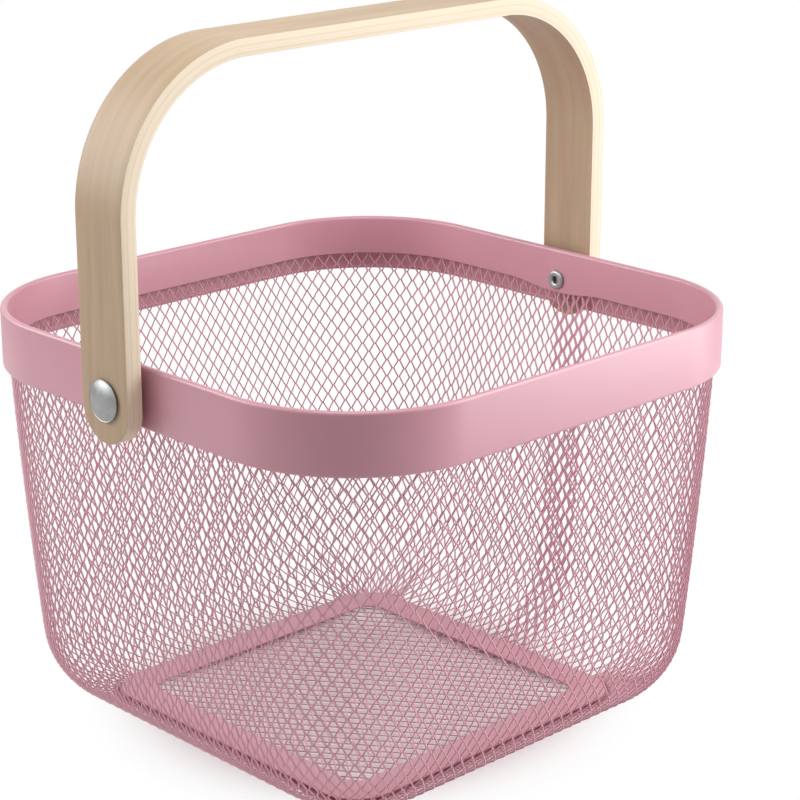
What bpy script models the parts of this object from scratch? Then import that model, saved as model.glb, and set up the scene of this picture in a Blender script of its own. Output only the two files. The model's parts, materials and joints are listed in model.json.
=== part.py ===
# Square wire-mesh basket with a folded steel rim, a flat base ring and a swinging bentwood handle.
# Units are metres. +Z is up, X runs through the two handle rivets.
# The origin is on the surface that the basket stands on, below its middle.

import math

import bmesh
import bpy
from mathutils import Matrix, Vector

# Driving dimensions

RUN_GAP = 0.0003             # clear gap between touching pieces

BASKET_HEIGHT = 0.180        # floor to the top of the rim
RIM_HALF_WIDTH = 0.125       # outer face of the rim from the middle
RIM_CORNER_RADIUS = 0.062
RIM_SHEET = 0.0006
RIM_SKIRT_HEIGHT = 0.0255    # outer leg of the folded rim
RIM_HEM_HEIGHT = 0.0175      # inner leg of the folded rim
RIM_HEM_DROP = 0.002         # extra depth of the inner leg round the rivets
RIM_HEM_DROP_HALF = 0.012    # half length of the deeper part
RIM_HEM_DROP_END = 0.024     # where the deeper part has run out
RIM_FOLD_WIDTH = 0.0030      # outer face to inner face, at the top
RIM_HEM_FLARE = 0.0008       # how far the inner leg leans in at its lower edge
RIM_TURN_IN = 0.0016         # lower edge of the outer leg, turned in towards the mesh
RIM_TURN_RADIUS = 0.0012

STRAND_THICKNESS = 0.0008
MESH_TUCK = 0.0055           # top of the mesh, below the top of the rim
MESH_COLUMNS = 36            # diamonds round the basket
MESH_HALF_ROWS = 13          # half diamonds from the top of the mesh to its lower edge

WALL_RIM_INSET = 0.00265     # middle of the mesh behind the rim's outer face, at the skirt's edge
WALL_TUCK_SLOPE = 0.055      # lean of the mesh inside the rim
WALL_TAPER = 0.01295         # how far the wall comes in from the rim to the floor
WALL_BULGE = 0.001           # outward bow of the wall at half height
BOTTOM_BEND_RADIUS = 0.033
MESH_EDGE_INSET = 0.0274     # lower edge of the turned-in mesh, inside the wall's foot

BASE_SHEET = 0.0008
BASE_MARGIN = 0.001          # base ring past the middle of the mesh's lower edge
BASE_SIDE = 0.0115           # width of the base ring's sides

FLOOR_LAP = 0.003            # floor panel over the base ring
FLOOR_COLUMNS = 6
FLOOR_ROWS = 5

RING_SHEET = 0.0008
RING_INSET = 0.002           # clamp ring inside the outer edge of the base ring
RING_SIDE = 0.0145           # width of the clamp ring's sides
RING_OPENING_RADIUS = 0.008

PIVOT_BELOW_RIM = 0.014
HANDLE_GAP = 0.0029          # rim to the inner face of the handle's legs
HANDLE_THICKNESS = 0.0071
HANDLE_WIDTH = 0.028
HANDLE_END_DROP = 0.0035     # centre of a leg's round end, below the rivets' axis
HANDLE_TOP = 0.300
HANDLE_BEND_RADIUS = 0.063   # outer face
HANDLE_EDGE_RADIUS = 0.0007

SHANK_RADIUS = 0.0025
HEAD_RADIUS = 0.0085
HEAD_HEIGHT = 0.0026
HEAD_EDGE = 0.0007
TAIL_RADIUS = 0.00445
TAIL_HEIGHT = 0.0016
TAIL_HOLLOW_RADIUS = 0.0019
TAIL_HOLLOW_DEPTH = 0.004
WASHER_RADIUS = 0.007

DRILL_EXTRA = 0.01           # how far a drill runs past the faces it cuts
WELD_DISTANCE = 0.00001      # points closer than this are one point

# Divisions and angles

CORNER_STEPS = 8             # round corners of the plan
RING_CORNER_STEPS = 6
RIM_FOLD_STEPS = 4
RIM_TURN_STEPS = 2
HANDLE_BEND_STEPS = 10
HANDLE_TIP_STEPS = 7
HANDLE_TIP_START = 10        # degrees from the leg's end to the first station
TURN_STEPS = 20              # facets round turned pieces and bores
DOME_STEPS = 3
ROLL_STEPS = 4
PROFILE_STEPS = 600          # fine steps of the wall's section before it is divided evenly
SMOOTH_ANGLE = 35            # degrees; flatter edges are shaded smooth
BEVEL_ANGLE = 50             # degrees; sharper edges of the handle are eased

# Sizes that follow from the driving dimensions

CORNER_CENTRE = RIM_HALF_WIDTH - RIM_CORNER_RADIUS
PIVOT_HEIGHT = BASKET_HEIGHT - PIVOT_BELOW_RIM
BORE_RADIUS = SHANK_RADIUS + RUN_GAP
HANDLE_INNER_FACE = RIM_HALF_WIDTH + HANDLE_GAP
HANDLE_OUTER_FACE = HANDLE_INNER_FACE + HANDLE_THICKNESS
RIM_INNER_FACE = RIM_HALF_WIDTH - RIM_FOLD_WIDTH
HEM_EDGE_FACE = RIM_INNER_FACE - RIM_HEM_FLARE
SKIRT_EDGE_HEIGHT = BASKET_HEIGHT - RIM_SKIRT_HEIGHT
MESH_TOP = BASKET_HEIGHT - MESH_TUCK
HALF_STRAND = STRAND_THICKNESS / 2
WALL_TOP_HALF_WIDTH = RIM_HALF_WIDTH - WALL_RIM_INSET
WALL_FOOT_HALF_WIDTH = WALL_TOP_HALF_WIDTH - WALL_TAPER
WALL_CORNER_RADIUS = WALL_TOP_HALF_WIDTH - CORNER_CENTRE
MESH_EDGE_HALF_WIDTH = WALL_FOOT_HALF_WIDTH - MESH_EDGE_INSET
MESH_EDGE_HEIGHT = BASE_SHEET + RUN_GAP + HALF_STRAND
MESH_EDGE_REACH = BOTTOM_BEND_RADIUS - MESH_EDGE_INSET
MESH_EDGE_RISE = BOTTOM_BEND_RADIUS - math.sqrt(BOTTOM_BEND_RADIUS ** 2 - MESH_EDGE_REACH ** 2)
BEND_FOOT = MESH_EDGE_HEIGHT - MESH_EDGE_RISE
BASE_HALF_WIDTH = MESH_EDGE_HALF_WIDTH + BASE_MARGIN
BASE_OPENING = BASE_HALF_WIDTH - BASE_SIDE
FLOOR_HALF_WIDTH = BASE_OPENING + FLOOR_LAP
RING_HALF_WIDTH = BASE_HALF_WIDTH - RING_INSET
RING_OPENING = RING_HALF_WIDTH - RING_SIDE
RING_UNDERSIDE = MESH_EDGE_HEIGHT + HALF_STRAND + RUN_GAP

# Colours: red, green and blue as linear values, then roughness and metallic

PINK_COAT = ((0.57, 0.26, 0.33), 0.45, 0.0)
BIRCH = ((0.55, 0.40, 0.24), 0.50, 0.0)
RIVET_STEEL = ((0.60, 0.60, 0.62), 0.32, 1.0)
WASHER_NYLON = ((0.75, 0.74, 0.72), 0.55, 0.0)


def clear_scene():
    for item in list(bpy.data.objects):
        bpy.data.objects.remove(item, do_unlink=True)


def new_collection(name):
    collection = bpy.data.collections.new(name)
    bpy.context.scene.collection.children.link(collection)
    return collection


def make_material(name, finish):
    colour, roughness, metallic = finish
    material = bpy.data.materials.new(name)
    material.use_nodes = True
    shader = material.node_tree.nodes["Principled BSDF"]
    shader.inputs["Base Color"].default_value = (*colour, 1.0)
    shader.inputs["Roughness"].default_value = roughness
    shader.inputs["Metallic"].default_value = metallic
    return material


def add_object(name, mesh, collection, material):
    item = bpy.data.objects.new(name, mesh)
    collection.objects.link(item)
    mesh.materials.append(material)
    return item


def mesh_from_grid(name, rows, closed):
    """Quads between rows of points. A closed grid joins each row's end to its start."""
    mesh = bpy.data.meshes.new(name)
    shape = bmesh.new()
    grid = [[shape.verts.new(point) for point in row] for row in rows]
    count = len(rows[0])
    faces_per_row = count if closed else count - 1
    for upper, lower in zip(grid[:-1], grid[1:]):
        for k in range(faces_per_row):
            following = (k + 1) % count
            shape.faces.new((upper[k], lower[k], lower[following], upper[following]))
    bmesh.ops.recalc_face_normals(shape, faces=shape.faces)
    shape.to_mesh(mesh)
    shape.free()
    return mesh


def smooth(item):
    item.data.shade_smooth()
    item.data.set_sharp_from_angle(angle=math.radians(SMOOTH_ANGLE))


def add_solidify(item, thickness):
    """Gives a surface its sheet thickness, half to each side."""
    shell = item.modifiers.new("Sheet", "SOLIDIFY")
    shell.thickness = thickness
    shell.offset = 0.0
    shell.use_even_offset = True


def add_cut(item, cutter):
    cut = item.modifiers.new("Cut " + cutter.name, "BOOLEAN")
    cut.operation = "DIFFERENCE"
    cut.solver = "EXACT"
    cut.object = cutter


def arc(centre_x, centre_z, radius, start_degrees, end_degrees, steps):
    """Points along an arc in a plane, as pairs of numbers."""
    points = []
    for k in range(steps + 1):
        angle = math.radians(start_degrees + (end_degrees - start_degrees) * k / steps)
        points.append((centre_x + radius * math.cos(angle), centre_z + radius * math.sin(angle)))
    return points


def square_outline(half_x, half_y, radius, steps, stops=()):
    """A rectangle with round corners, anticlockwise from its +X side.

    Stops are extra points on the two sides across X, as distances from the side's middle.
    """
    points = []
    for sign_x, sign_y, start in ((1, 1, 0), (-1, 1, 90), (-1, -1, 180), (1, -1, 270)):
        centre_x = sign_x * (half_x - radius)
        centre_y = sign_y * (half_y - radius)
        points += arc(centre_x, centre_y, radius, start, start + 90, steps)
        if sign_x != sign_y:
            points += [(sign_x * half_x, -sign_x * stop) for stop in stops]
    return points


def plan_ring(half_width, height, stops=()):
    """The basket's square plan at a half width, as points at a height."""
    radius = half_width - CORNER_CENTRE
    outline = square_outline(half_width, half_width, radius, CORNER_STEPS, stops)
    return [(x, y, height) for x, y in outline]


def shell_from_rings(name, rings, sheet, collection, material):
    """Sheet that joins rings of points, one above the other or one inside the other."""
    item = add_object(name, mesh_from_grid(name, rings, True), collection, material)
    add_solidify(item, sheet)
    smooth(item)
    return item


def wall_half_width(height):
    """Middle of the mesh sheet from the basket's middle, at a height above the floor."""
    drop = (SKIRT_EDGE_HEIGHT - height) / SKIRT_EDGE_HEIGHT
    if drop < 0.0:
        return WALL_TOP_HALF_WIDTH + WALL_TUCK_SLOPE * (height - SKIRT_EDGE_HEIGHT)
    straight = WALL_TOP_HALF_WIDTH - WALL_TAPER * drop
    bow = WALL_BULGE * 4 * drop * (1 - drop)
    rise = height - BEND_FOOT
    if rise >= BOTTOM_BEND_RADIUS:
        return straight + bow
    reach = BOTTOM_BEND_RADIUS - rise
    inset = BOTTOM_BEND_RADIUS - math.sqrt(max(BOTTOM_BEND_RADIUS ** 2 - reach ** 2, 0.0))
    return straight + bow - inset


def wall_profile():
    """The wall's section from the top of the mesh to its turned-in edge, finely divided."""
    points = []
    for k in range(PROFILE_STEPS + 1):
        share = k / PROFILE_STEPS
        height = MESH_TOP + (BEND_FOOT - MESH_TOP) * (1 - (1 - share) ** 2)
        half_width = wall_half_width(height)
        if half_width < MESH_EDGE_HALF_WIDTH:
            break
        points.append(Vector((half_width, height)))
    return points


def even_points(line, count):
    """Points at even steps along a line of points."""
    lengths = [0.0]
    for a, b in zip(line[:-1], line[1:]):
        lengths.append(lengths[-1] + (b - a).length)
    points = []
    k = 0
    for step in range(count):
        target = lengths[-1] * step / (count - 1)
        while k < len(line) - 2 and lengths[k + 1] < target:
            k += 1
        share = (target - lengths[k]) / (lengths[k + 1] - lengths[k])
        points.append(line[k].lerp(line[k + 1], share))
    return points


def around(half_width, turn):
    """A point on the basket's square plan at a share of one turn.

    Every ring of the wall is divided in the same shares: straight runs keep their length and
    the corners take what is left, so the strands run straight down the flat sides.
    """
    straight = 2 * CORNER_CENTRE
    bend = math.pi / 2 * WALL_CORNER_RADIUS
    quarter = straight + bend
    along = (turn % 1.0) * 4 * quarter + straight / 2
    side = int(along // quarter) % 4
    along -= (along // quarter) * quarter
    spin = Matrix.Rotation(side * math.pi / 2, 2)
    if along <= straight:
        return spin @ Vector((half_width, along - CORNER_CENTRE))
    angle = (along - straight) / WALL_CORNER_RADIUS
    outward = Vector((math.cos(angle), math.sin(angle)))
    return spin @ (Vector((CORNER_CENTRE, CORNER_CENTRE)) + outward * (half_width - CORNER_CENTRE))


def diamond_mesh(name, place, half_columns, half_rows, closed):
    """Diamonds on a grid of half steps, with half diamonds that close the edges.

    place(column, row) gives a grid point's position. Corners of diamonds are the grid points
    whose column and row add up to an even number. Edges have every point, so that they follow
    a bend as closely as the diamonds do. A closed mesh joins its last column to its first.
    """
    mesh = bpy.data.meshes.new(name)
    shape = bmesh.new()
    column_count = half_columns if closed else half_columns + 1
    grid = [(column, row) for column in range(column_count) for row in range(half_rows + 1)]
    points = {}
    for column, row in grid:
        on_side = not closed and column in (0, half_columns)
        on_end = row in (0, half_rows)
        if (column + row) % 2 == 0 or on_side or on_end:
            points[column, row] = shape.verts.new(place(column, row))
    for column, row in grid:
        if (column + row) % 2 == 0:
            continue
        left = column - 1
        right = column + 1
        if closed:
            left %= half_columns
            right %= half_columns
        ring = [(column, row - 1), (left, row), (column, row + 1), (right, row)]
        corners = []
        for key in ring:
            corner = points.get(key, points.get((column, row)))
            if corner not in corners:
                corners.append(corner)
        shape.faces.new(corners)
    bmesh.ops.recalc_face_normals(shape, faces=shape.faces)
    shape.to_mesh(mesh)
    shape.free()
    return mesh


def add_strands(item):
    """Turns every edge of the diamonds into a strand."""
    strands = item.modifiers.new("Strands", "WIREFRAME")
    strands.thickness = STRAND_THICKNESS
    strands.offset = 0.0
    strands.use_even_offset = True
    strands.use_boundary = True
    strands.use_replace = True


def make_wall_mesh(collection, material):
    """The basket's sides: diamond mesh from inside the rim down to its turned-in lower edge."""
    rows = even_points(wall_profile(), MESH_HALF_ROWS + 1)
    turn_steps = 2 * MESH_COLUMNS

    def place(column, row):
        half_width, height = rows[row]
        point = around(half_width, column / turn_steps)
        return point.x, point.y, height

    mesh = diamond_mesh("wall_mesh", place, turn_steps, MESH_HALF_ROWS, True)
    item = add_object("wall_mesh", mesh, collection, material)
    add_strands(item)


def hem_edge_height(y):
    """Lower edge of the rim's inner leg, deeper round the rivets."""
    height = BASKET_HEIGHT - RIM_HEM_HEIGHT
    return height - RIM_HEM_DROP if abs(y) <= RIM_HEM_DROP_HALF else height


def make_rim_band(cutters, collection, material):
    """Sheet folded over the top of the mesh: a tall outer leg and a shorter inner leg."""
    half_sheet = RIM_SHEET / 2
    outer = RIM_HALF_WIDTH - half_sheet
    inner = RIM_INNER_FACE + half_sheet
    fold_radius = (outer - inner) / 2
    fold_height = BASKET_HEIGHT - half_sheet - fold_radius
    turn_radius = RIM_TURN_RADIUS - half_sheet
    foot = SKIRT_EDGE_HEIGHT + half_sheet
    profile = [(RIM_HALF_WIDTH - RIM_TURN_IN, foot)]
    profile += arc(outer - turn_radius, foot + turn_radius, turn_radius, -90, 0, RIM_TURN_STEPS)
    profile += arc(outer - fold_radius, fold_height, fold_radius, 0, 180, RIM_FOLD_STEPS)
    stops = (RIM_HEM_DROP_END, RIM_HEM_DROP_HALF, -RIM_HEM_DROP_HALF, -RIM_HEM_DROP_END)
    rings = [plan_ring(half_width, height, stops) for half_width, height in profile]
    edge = plan_ring(HEM_EDGE_FACE + half_sheet, 0.0, stops)
    rings.append([(x, y, hem_edge_height(y)) for x, y, _ in edge])
    band = shell_from_rings("rim_band", rings, RIM_SHEET, collection, material)
    drill = make_rod("rim_drill", BORE_RADIUS, RIM_HALF_WIDTH + DRILL_EXTRA, cutters)
    add_cut(band, drill)


def outline_curve(name, outlines, thickness, collection):
    """A flat plate from closed outlines; the second outline is the hole in the first."""
    curve = bpy.data.curves.new(name, "CURVE")
    curve.dimensions = "2D"
    curve.fill_mode = "BOTH"
    curve.extrude = thickness / 2
    for outline in outlines:
        spline = curve.splines.new("POLY")
        spline.points.add(len(outline) - 1)
        spline.use_cyclic_u = True
        for point, (x, y) in zip(spline.points, outline):
            point.co = (x, y, 0.0, 1.0)
    item = bpy.data.objects.new(name, curve)
    collection.objects.link(item)
    return item


def curve_to_mesh(item, collection, material):
    """Replaces a curve object by a welded mesh object of the same name and place."""
    bpy.context.view_layer.update()
    name = item.name
    evaluated = item.evaluated_get(bpy.context.evaluated_depsgraph_get())
    mesh = bpy.data.meshes.new_from_object(evaluated)
    shape = bmesh.new()
    shape.from_mesh(mesh)
    bmesh.ops.remove_doubles(shape, verts=shape.verts, dist=WELD_DISTANCE)
    shape.to_mesh(mesh)
    shape.free()
    place = item.matrix_world.copy()
    bpy.data.objects.remove(item, do_unlink=True)
    solid = add_object(name, mesh, collection, material)
    solid.matrix_world = place


def make_plate_ring(name, half_width, opening, radius, thickness, underside, collection, material):
    """Flat square ring with round corners; radius is that of the opening's corners."""
    corner = half_width - CORNER_CENTRE
    outer = square_outline(half_width, half_width, corner, RING_CORNER_STEPS)
    hole = square_outline(opening, opening, radius, RING_CORNER_STEPS)
    curve = outline_curve(name, (outer, hole), thickness, collection)
    curve.location = (0.0, 0.0, underside + thickness / 2)
    curve_to_mesh(curve, collection, material)


def make_base_ring(collection, material):
    """Flat ring that the basket stands on; the wall's lower edge and the floor panel lie on it."""
    radius = BASE_OPENING - CORNER_CENTRE
    make_plate_ring(
        "base_ring", BASE_HALF_WIDTH, BASE_OPENING, radius, BASE_SHEET, 0.0, collection, material
    )


def make_clamp_ring(collection, material):
    """Flat ring that holds the floor panel down on the base ring."""
    make_plate_ring(
        "clamp_ring",
        RING_HALF_WIDTH,
        RING_OPENING,
        RING_OPENING_RADIUS,
        RING_SHEET,
        RING_UNDERSIDE,
        collection,
        material,
    )


def make_floor_mesh(collection, material):
    """Flat panel of diamond mesh between the base ring and the clamp ring."""
    columns = 2 * FLOOR_COLUMNS
    rows = 2 * FLOOR_ROWS

    def place(column, row):
        x = FLOOR_HALF_WIDTH * (2 * column / columns - 1)
        y = FLOOR_HALF_WIDTH * (1 - 2 * row / rows)
        return x, y, MESH_EDGE_HEIGHT

    mesh = diamond_mesh("floor_mesh", place, columns, rows, False)
    item = add_object("floor_mesh", mesh, collection, material)
    add_strands(item)


def handle_stations():
    """The handle's strip from its left tip over the top to its right tip.

    Each station is the X and Z of the strip's middle line and the strip's half width there.
    """
    half_sheet = HANDLE_THICKNESS / 2
    side = HANDLE_OUTER_FACE - half_sheet
    half_width = HANDLE_WIDTH / 2
    bend = HANDLE_BEND_RADIUS - half_sheet
    bend_centre = HANDLE_TOP - HANDLE_BEND_RADIUS
    tip_centre = PIVOT_HEIGHT - HANDLE_END_DROP
    tip = []
    for k in range(HANDLE_TIP_STEPS + 1):
        share = k / HANDLE_TIP_STEPS
        angle = math.radians(HANDLE_TIP_START + (90 - HANDLE_TIP_START) * share)
        tip.append((tip_centre - half_width * math.cos(angle), half_width * math.sin(angle)))
    stations = [(-side, height, width) for height, width in tip]
    for x, z in arc(-side + bend, bend_centre, bend, 180, 90, HANDLE_BEND_STEPS):
        stations.append((x, z, half_width))
    for x, z in arc(side - bend, bend_centre, bend, 90, 0, HANDLE_BEND_STEPS):
        stations.append((x, z, half_width))
    stations += [(side, height, width) for height, width in reversed(tip)]
    return stations


def make_handle(pivot, cutters, collection, material):
    """Bent strip of glued veneers, with round ends that turn on the rivets."""
    rows = []
    for x, z, half_width in handle_stations():
        height = z - PIVOT_HEIGHT
        rows.append([(x, -half_width, height), (x, half_width, height)])
    item = add_object("handle", mesh_from_grid("handle", rows, False), collection, material)
    item.parent = pivot
    add_solidify(item, HANDLE_THICKNESS)
    edge = item.modifiers.new("Eased edges", "BEVEL")
    edge.width = HANDLE_EDGE_RADIUS
    edge.segments = 1
    edge.limit_method = "ANGLE"
    edge.angle_limit = math.radians(BEVEL_ANGLE)
    drill = make_rod("handle_drill", BORE_RADIUS, HANDLE_OUTER_FACE + DRILL_EXTRA, cutters)
    add_cut(item, drill)
    smooth(item)


def make_rod(name, radius, half_length, collection):
    """A cutter along X through both rivets."""
    bpy.ops.mesh.primitive_cylinder_add(
        vertices=TURN_STEPS,
        radius=radius,
        depth=2 * half_length,
        location=(0.0, 0.0, PIVOT_HEIGHT),
        rotation=(0.0, math.pi / 2, 0.0),
    )
    rod = bpy.context.active_object
    rod.name = name
    for owner in list(rod.users_collection):
        owner.objects.unlink(rod)
    collection.objects.link(rod)
    rod.hide_render = True
    rod.display_type = "WIRE"
    return rod


def turned(name, profile, collection, material):
    """A profile of radius and height pairs, turned round Z."""
    mesh = bpy.data.meshes.new(name)
    shape = bmesh.new()
    verts = [shape.verts.new((radius, 0.0, height)) for radius, height in profile]
    for a, b in zip(verts[:-1], verts[1:]):
        shape.edges.new((a, b))
    starts_off_axis = profile[0][0] > 0.0
    if starts_off_axis:
        shape.edges.new((verts[-1], verts[0]))
    shape.to_mesh(mesh)
    shape.free()
    item = add_object(name, mesh, collection, material)
    screw = item.modifiers.new("Turn", "SCREW")
    screw.axis = "Z"
    screw.angle = 2 * math.pi
    screw.steps = TURN_STEPS
    screw.render_steps = TURN_STEPS
    screw.use_merge_vertices = True
    screw.merge_threshold = WELD_DISTANCE
    screw.use_normal_calculate = False
    smooth(item)
    return item


def tail_face():
    """Where the rivet's tail bears on the slanting inner leg, from the basket's middle."""
    leg_top = BASKET_HEIGHT - RIM_FOLD_WIDTH / 2
    leg_edge = BASKET_HEIGHT - RIM_HEM_HEIGHT
    share = (leg_top - (PIVOT_HEIGHT - TAIL_RADIUS)) / (leg_top - leg_edge)
    return RIM_INNER_FACE - RIM_HEM_FLARE * share - RUN_GAP


def rivet_profile():
    """Domed head, shank and rolled hollow tail. Height 0 is the underside of the head."""
    rise = HEAD_HEIGHT - HEAD_EDGE
    dome_radius = (HEAD_RADIUS ** 2 + rise ** 2) / (2 * rise)
    half_angle = math.degrees(math.asin(HEAD_RADIUS / dome_radius))
    centre = HEAD_HEIGHT - dome_radius
    dome = arc(0.0, centre, dome_radius, 90, 90 - half_angle, DOME_STEPS)
    dome[0] = (0.0, HEAD_HEIGHT)
    tail_start = tail_face() - HANDLE_OUTER_FACE - RUN_GAP
    tail_end = tail_start - TAIL_HEIGHT
    hollow_top = tail_end + TAIL_HOLLOW_DEPTH
    roll = TAIL_HEIGHT / 2
    outer_roll = arc(TAIL_RADIUS - roll, tail_start - roll, roll, 90, -90, ROLL_STEPS)
    inner_roll = arc(TAIL_HOLLOW_RADIUS + roll, tail_end + roll, roll, 270, 180, ROLL_STEPS // 2)
    profile = dome + [(HEAD_RADIUS, 0.0), (SHANK_RADIUS, 0.0), (SHANK_RADIUS, tail_start)]
    profile += outer_roll + inner_roll
    profile += [(TAIL_HOLLOW_RADIUS, hollow_top), (0.0, hollow_top)]
    return profile


def place_on_side(item, side, distance):
    """Stands a turned piece on the handle's axis; its +Z points away from the basket."""
    item.location = (side * distance, 0.0, PIVOT_HEIGHT)
    item.rotation_euler = (0.0, side * math.pi / 2, 0.0)


def make_rivets(collection, material):
    for name, side in (("rivet_front", -1), ("rivet_back", 1)):
        item = turned(name, rivet_profile(), collection, material)
        place_on_side(item, side, HANDLE_OUTER_FACE + RUN_GAP)


def make_washers(collection, material):
    thickness = HANDLE_GAP - 2 * RUN_GAP
    profile = [
        (WASHER_RADIUS, thickness),
        (WASHER_RADIUS, 0.0),
        (BORE_RADIUS, 0.0),
        (BORE_RADIUS, thickness),
    ]
    for name, side in (("washer_front", -1), ("washer_back", 1)):
        item = turned(name, profile, collection, material)
        place_on_side(item, side, RIM_HALF_WIDTH + RUN_GAP)


def main():
    clear_scene()
    parts = new_collection("mesh_basket")
    cutters = new_collection("cutters")
    coat = {
        name: make_material(name, PINK_COAT)
        for name in ("rim_coat", "wall_coat", "base_coat", "floor_coat", "ring_coat")
    }
    birch = make_material("bent_birch", BIRCH)
    steel = make_material("rivet_steel", RIVET_STEEL)
    nylon = make_material("washer_nylon", WASHER_NYLON)

    make_rim_band(cutters, parts, coat["rim_coat"])
    make_wall_mesh(parts, coat["wall_coat"])
    make_base_ring(parts, coat["base_coat"])
    make_floor_mesh(parts, coat["floor_coat"])
    make_clamp_ring(parts, coat["ring_coat"])

    pivot = bpy.data.objects.new("handle_pivot", None)
    pivot.location = (0.0, 0.0, PIVOT_HEIGHT)
    parts.objects.link(pivot)
    make_handle(pivot, cutters, parts, birch)
    make_rivets(parts, steel)
    make_washers(parts, nylon)


main()
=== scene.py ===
"""Looks of a pink steel-mesh basket with a bentwood handle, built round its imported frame.

Units are metres. +Z is up and X runs through the two handle rivets. The frame gives the rivets'
axis and the boxes of the rim, rings, floor mesh, handle and rivets; every other size is a field of
its class.
"""

import json
import logging
import math
from bisect import bisect_right
from collections.abc import Callable, Sequence
from dataclasses import dataclass
from enum import Enum

import bmesh
import bpy
from bpy.types import Material, Node, NodeSocket, NodeTree, Object
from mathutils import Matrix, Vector


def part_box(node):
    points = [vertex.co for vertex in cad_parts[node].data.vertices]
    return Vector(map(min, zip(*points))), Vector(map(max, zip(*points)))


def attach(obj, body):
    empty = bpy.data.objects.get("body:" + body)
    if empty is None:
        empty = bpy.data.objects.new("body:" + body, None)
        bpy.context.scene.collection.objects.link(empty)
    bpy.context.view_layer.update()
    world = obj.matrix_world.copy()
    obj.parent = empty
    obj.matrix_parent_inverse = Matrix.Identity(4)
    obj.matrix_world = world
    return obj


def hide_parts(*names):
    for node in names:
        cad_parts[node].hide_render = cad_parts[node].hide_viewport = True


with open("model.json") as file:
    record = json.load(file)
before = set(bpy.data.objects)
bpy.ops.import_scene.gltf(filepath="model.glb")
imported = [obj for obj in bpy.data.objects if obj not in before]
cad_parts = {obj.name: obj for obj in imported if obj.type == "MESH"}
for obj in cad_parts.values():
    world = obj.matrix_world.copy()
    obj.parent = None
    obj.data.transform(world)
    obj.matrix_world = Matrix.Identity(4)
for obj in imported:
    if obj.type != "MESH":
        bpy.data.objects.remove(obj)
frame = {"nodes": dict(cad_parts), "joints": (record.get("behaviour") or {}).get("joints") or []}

log = logging.getLogger("basket")
MM = 0.001
# Settings that several nodes share.
COLOURS = {"data_type": "RGBA"}
EASED = {"interpolation_type": "SMOOTHSTEP"}
# Places of a Mix node's colour sockets, which share their names with its other kinds of socket.
MIX_A, MIX_B, MIX_RESULT = 6, 7, 2


class Body(Enum):
    """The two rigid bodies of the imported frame."""

    BASKET = "basket"
    HANDLE = "handle"


class Side(Enum):
    """The two ends of the handle's axis, with the sign of X there."""

    FRONT = -1
    BACK = 1


def srgb(colour: str) -> tuple[float, float, float, float]:
    """Turns an sRGB hex colour into a linear colour, by the formula of that standard.

    Args:
        colour: six hex digits after a hash sign.

    Returns:
        Red, green and blue as linear values, and full alpha.
    """
    linear = []
    for start in (1, 3, 5):
        value = int(colour[start:start + 2], 16) / 255
        linear.append(value / 12.92 if value <= 0.04045 else ((value + 0.055) / 1.055) ** 2.4)
    return (linear[0], linear[1], linear[2], 1.0)


def add_node(
    tree: NodeTree,
    kind: str,
    settings: dict[str, object],
    inputs: dict[str | int, object],
) -> Node:
    """Adds one node with its settings and links.

    Args:
        tree: node tree that takes the node.
        kind: the node's type, without the shader prefix.
        settings: the node's own properties by name.
        inputs: input sockets by name or number. An output socket is linked, a value is set.

    Returns:
        The new node.
    """
    node = tree.nodes.new("ShaderNode" + kind)
    for name, value in settings.items():
        setattr(node, name, value)
    for key, value in inputs.items():
        if isinstance(value, NodeSocket):
            tree.links.new(value, node.inputs[key])
        else:
            node.inputs[key].default_value = value
    return node


def new_material(name: str) -> tuple[Material, NodeTree]:
    """Makes a material with an empty node tree.

    Args:
        name: the material's name.

    Returns:
        The material and its node tree.
    """
    material = bpy.data.materials.new(name)
    material.use_nodes = True
    material.node_tree.nodes.clear()
    return material, material.node_tree


def show_surface(tree: NodeTree, shader: Node) -> None:
    """Links a shader to a new material output."""
    add_node(tree, "OutputMaterial", {}, {"Surface": shader.outputs[0]})


def show_skin(
    tree: NodeTree,
    colour: NodeSocket,
    gloss: tuple[NodeSocket, dict[str, float]],
    relief: tuple[NodeSocket, float],
    settings: dict[str, float],
) -> None:
    """Shows a surface whose roughness and relief both vary.

    Args:
        tree: the material's node tree.
        colour: the surface's colour.
        gloss: the pattern that varies the roughness, and the ranges that it is mapped with.
        relief: the pattern of the relief, and its height in millimetres.
        settings: the shader's uniform numbers.
    """
    roughness = add_node(tree, "MapRange", {}, {"Value": gloss[0], **gloss[1]})
    bump = add_node(tree, "Bump", {}, {
        "Height": relief[0], "Strength": 1.0, "Distance": relief[1] * MM,
    })
    shader = add_node(tree, "BsdfPrincipled", {}, {
        "Base Color": colour, "Roughness": roughness.outputs["Result"],
        "Normal": bump.outputs["Normal"], **settings,
    })
    show_surface(tree, shader)


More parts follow.
